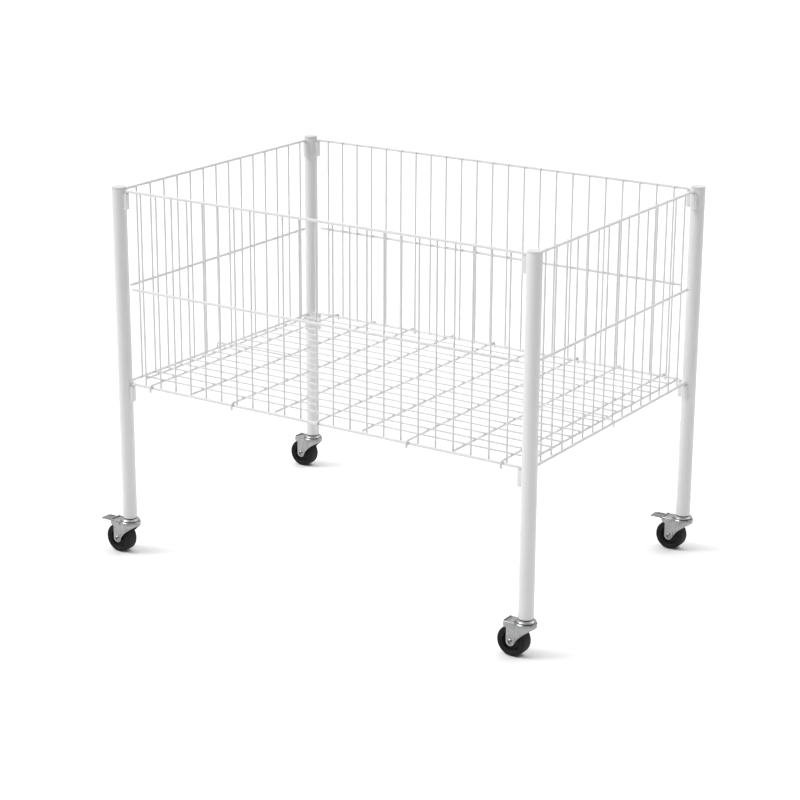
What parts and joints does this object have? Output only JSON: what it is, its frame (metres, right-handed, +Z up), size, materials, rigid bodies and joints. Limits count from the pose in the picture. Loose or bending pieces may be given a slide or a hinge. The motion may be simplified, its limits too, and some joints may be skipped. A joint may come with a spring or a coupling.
{
  "type": "retail dump bin",
  "caption": "Rectangular wire dump bin on round posts with a loose wire floor and braked swivel casters",
  "frame": {"origin": "on the ground, halfway between the four posts", "axes": "+X along the long side, +Y across the bin from the front panel to the back panel, +Z up"},
  "size_m": [1.063, 0.714, 0.795],
  "materials": {
    "white_steel": "satin powder coat",
    "white_wire": "satin powder coat",
    "cap_plastic": "satin",
    "insert_plastic": "matte",
    "zinc_steel": "zinc plated",
    "wheel_core": "matte",
    "wheel_rubber": "matte"
  },
  "bodies": {
    "bin_frame": {"post_front_left": "white_steel", "sockets_front_left": "white_steel", "post_cap_front_left": "cap_plastic", "caster_insert_front_left": "insert_plastic", "caster_stem_front_left": "zinc_steel", "post_front_right": "white_steel", "sockets_front_right": "white_steel", "post_cap_front_right": "cap_plastic", "caster_insert_front_right": "insert_plastic", "caster_stem_front_right": "zinc_steel", "post_back_right": "white_steel", "sockets_back_right": "white_steel", "post_cap_back_right": "cap_plastic", "caster_insert_back_right": "insert_plastic", "caster_stem_back_right": "zinc_steel", "post_back_left": "white_steel", "sockets_back_left": "white_steel", "post_cap_back_left": "cap_plastic", "caster_insert_back_left": "insert_plastic", "caster_stem_back_left": "zinc_steel", "panel_front": "white_wire", "panel_back": "white_wire", "panel_left": "white_wire", "panel_right": "white_wire"},
    "floor": {"floor_grid": "white_wire"},
    "caster_front_left": {"caster_fork_front_left": "zinc_steel", "caster_axle_front_left": "zinc_steel", "brake_pin_front_left": "zinc_steel"},
    "wheel_front_left": {"wheel_hub_front_left": "wheel_core", "wheel_tyre_front_left": "wheel_rubber"},
    "pedal_front_left": {"brake_pedal_front_left": "zinc_steel"},
    "caster_front_right": {"caster_fork_front_right": "zinc_steel", "caster_axle_front_right": "zinc_steel"},
    "wheel_front_right": {"wheel_hub_front_right": "wheel_core", "wheel_tyre_front_right": "wheel_rubber"},
    "caster_back_right": {"caster_fork_back_right": "zinc_steel", "caster_axle_back_right": "zinc_steel", "brake_pin_back_right": "zinc_steel"},
    "wheel_back_right": {"wheel_hub_back_right": "wheel_core", "wheel_tyre_back_right": "wheel_rubber"},
    "pedal_back_right": {"brake_pedal_back_right": "zinc_steel"},
    "caster_back_left": {"caster_fork_back_left": "zinc_steel", "caster_axle_back_left": "zinc_steel"},
    "wheel_back_left": {"wheel_hub_back_left": "wheel_core", "wheel_tyre_back_left": "wheel_rubber"}
  },
  "joints": [
    {"name": "floor_lift", "type": "slide", "parent": "bin_frame", "child": "floor", "axis": [0, 0, 1], "range_m": [0, 0.188]},
    {"name": "caster_swivel_front_left", "type": "hinge", "parent": "bin_frame", "child": "caster_front_left", "pos_m": [-0.485, -0.335, 0.07], "axis": [0, 0, 1], "continuous": true},
    {"name": "wheel_spin_front_left", "type": "hinge", "parent": "caster_front_left", "child": "wheel_front_left", "pos_m": [-0.51, -0.335, 0.031], "axis": [0, 1, 0], "continuous": true},
    {"name": "brake_press_front_left", "type": "hinge", "parent": "caster_front_left", "child": "pedal_front_left", "pos_m": [-0.505, -0.335, 0.0656], "axis": [0, -1, 0], "range_deg": [0, 9]},
    {"name": "caster_swivel_front_right", "type": "hinge", "parent": "bin_frame", "child": "caster_front_right", "pos_m": [0.485, -0.335, 0.07], "axis": [0, 0, 1], "continuous": true},
    {"name": "wheel_spin_front_right", "type": "hinge", "parent": "caster_front_right", "child": "wheel_front_right", "pos_m": [0.46, -0.335, 0.031], "axis": [0, 1, 0], "continuous": true},
    {"name": "caster_swivel_back_right", "type": "hinge", "parent": "bin_frame", "child": "caster_back_right", "pos_m": [0.485, 0.335, 0.07], "axis": [0, 0, 1], "continuous": true},
    {"name": "wheel_spin_back_right", "type": "hinge", "parent": "caster_back_right", "child": "wheel_back_right", "pos_m": [0.46, 0.335, 0.031], "axis": [0, 1, 0], "continuous": true},
    {"name": "brake_press_back_right", "type": "hinge", "parent": "caster_back_right", "child": "pedal_back_right", "pos_m": [0.465, 0.335, 0.0656], "axis": [0, -1, 0], "range_deg": [0, 9]},
    {"name": "caster_swivel_back_left", "type": "hinge", "parent": "bin_frame", "child": "caster_back_left", "pos_m": [-0.485, 0.335, 0.07], "axis": [0, 0, 1], "continuous": true},
    {"name": "wheel_spin_back_left", "type": "hinge", "parent": "caster_back_left", "child": "wheel_back_left", "pos_m": [-0.51, 0.335, 0.031], "axis": [0, 1, 0], "continuous": true}
  ]
}
